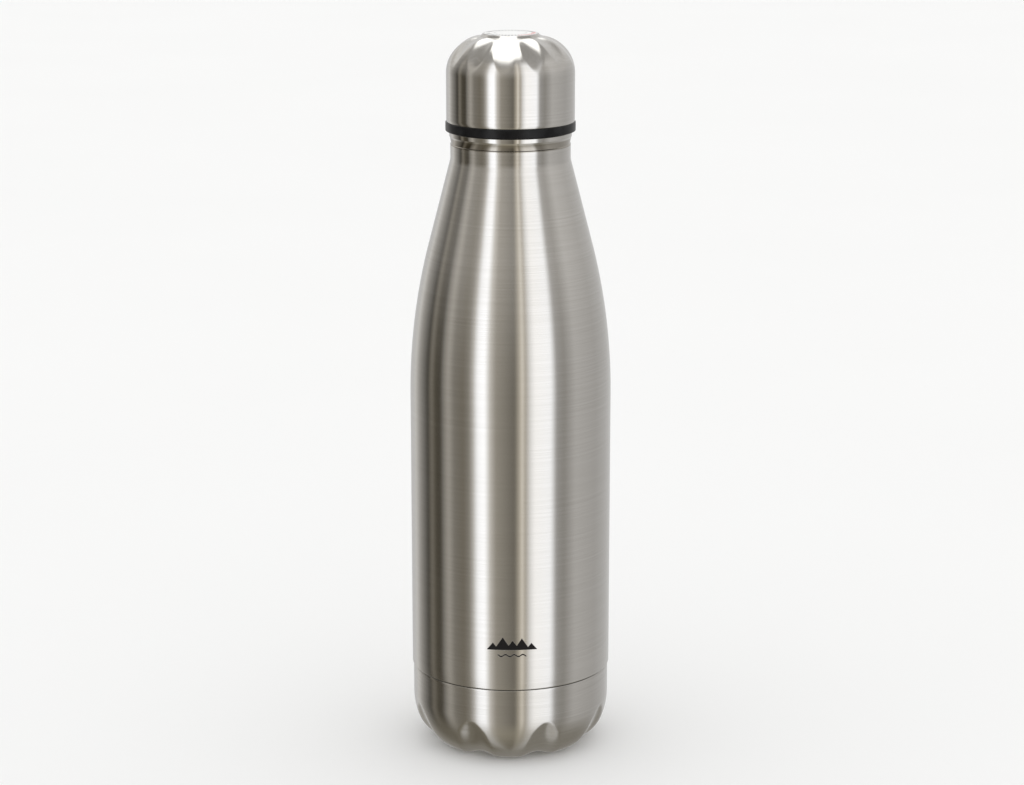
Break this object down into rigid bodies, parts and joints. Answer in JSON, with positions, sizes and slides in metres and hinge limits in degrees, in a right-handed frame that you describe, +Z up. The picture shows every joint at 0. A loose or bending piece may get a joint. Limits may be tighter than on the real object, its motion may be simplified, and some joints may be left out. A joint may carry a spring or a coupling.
{
  "type": "insulated water bottle",
  "caption": "Double-wall steel vacuum bottle with a long tapered shoulder, lobed base cup and dimpled screw cap on a threaded, foam-filled stopper.",
  "frame": {"origin": "centre of the circle of feet on the surface that the bottle stands on", "axes": "+Z up along the bottle's axis; the printed front faces -Y; +X is to the viewer's right"},
  "size_m": [0.07, 0.07, 0.2519],
  "materials": {
    "brushed_shell": "brushed round the bottle",
    "brushed_cup": "brushed round the bottle",
    "brushed_cap": "fine brushed",
    "flask_steel": "electropolished",
    "plain_steel": "mill finish",
    "copper": "bright foil",
    "solder_glass": "fused, opaque",
    "getter": "pressed powder",
    "adhesive": "cured",
    "silicone": "satin",
    "black_plastic": "satin black",
    "stopper_plastic": "moulded",
    "foam": "closed-cell foam",
    "label": "coated paper"
  },
  "bodies": {
    "bottle": {"outer_shell": "brushed_shell", "base_cup": "brushed_cup", "base_bond": "adhesive", "vacuum_plate": "plain_steel", "glass_seal": "solder_glass", "inner_flask": "flask_steel", "flask_bottom": "flask_steel", "copper_foil": "copper", "getter_pill": "getter", "getter_strap": "plain_steel"},
    "seal": {"seal_ring": "silicone"},
    "cap": {"cap_shell": "brushed_cap", "cap_core": "black_plastic", "cap_bond": "adhesive", "stopper_plug": "stopper_plastic", "stopper_floor": "stopper_plastic", "foam_core": "foam", "cap_label": "label"}
  },
  "joints": [
    {"name": "cap_lift", "type": "slide", "parent": "bottle", "child": "seal", "axis": [0, 0, 1], "range_m": [0, 0.03]},
    {"name": "cap_turn", "type": "hinge", "parent": "seal", "child": "cap", "pos_m": [0, 0, 0.2185], "axis": [0, 0, 1], "range_deg": [0, 2160]}
  ],
  "couplings": [
    {"joint": "cap_lift", "follows": "cap_turn", "m_per_rad": 0.00079577}
  ]
}
